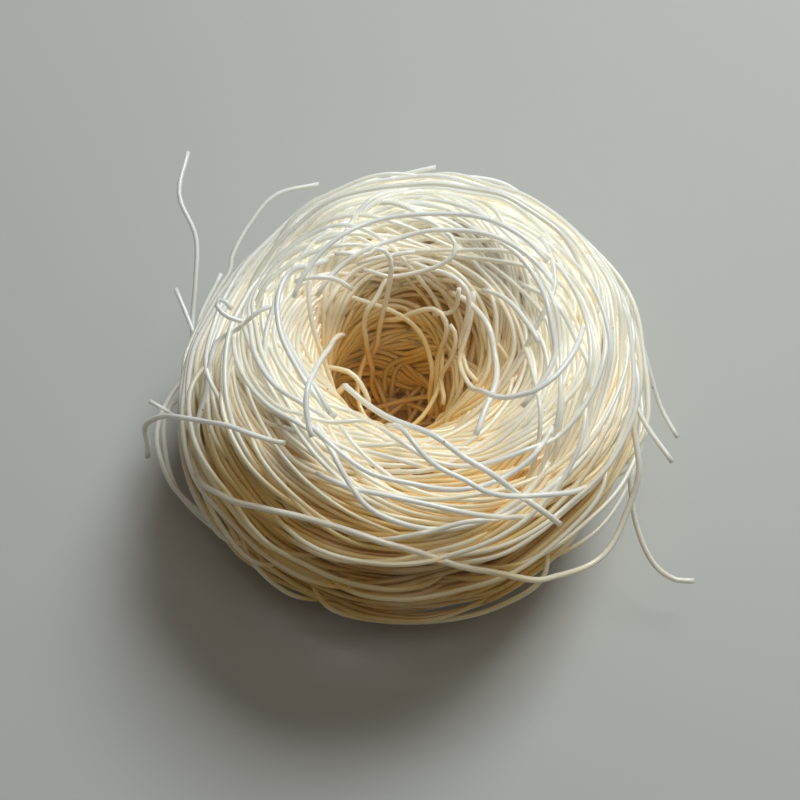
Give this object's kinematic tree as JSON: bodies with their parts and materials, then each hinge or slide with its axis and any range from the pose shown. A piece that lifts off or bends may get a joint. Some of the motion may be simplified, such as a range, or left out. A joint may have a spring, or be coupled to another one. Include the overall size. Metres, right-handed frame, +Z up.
{
  "type": "bundle of dried rice vermicelli",
  "caption": "Dried rice vermicelli wound into a thick round nest with a deep hollow, standing on a flat base.",
  "frame": {"origin": "middle of the footprint's box, on the surface that the nest stands on", "axes": "+Z up out of the hollow, -Y towards the front of the nest, +X to its right"},
  "size_m": [0.0852, 0.0818, 0.0475],
  "materials": {
    "rice_noodle": "dry rice noodle, creamy white, slightly see-through, with a soft shine"
  },
  "bodies": {
    "root": {"vermicelli_nest": "rice_noodle"}
  },
  "joints": []
}
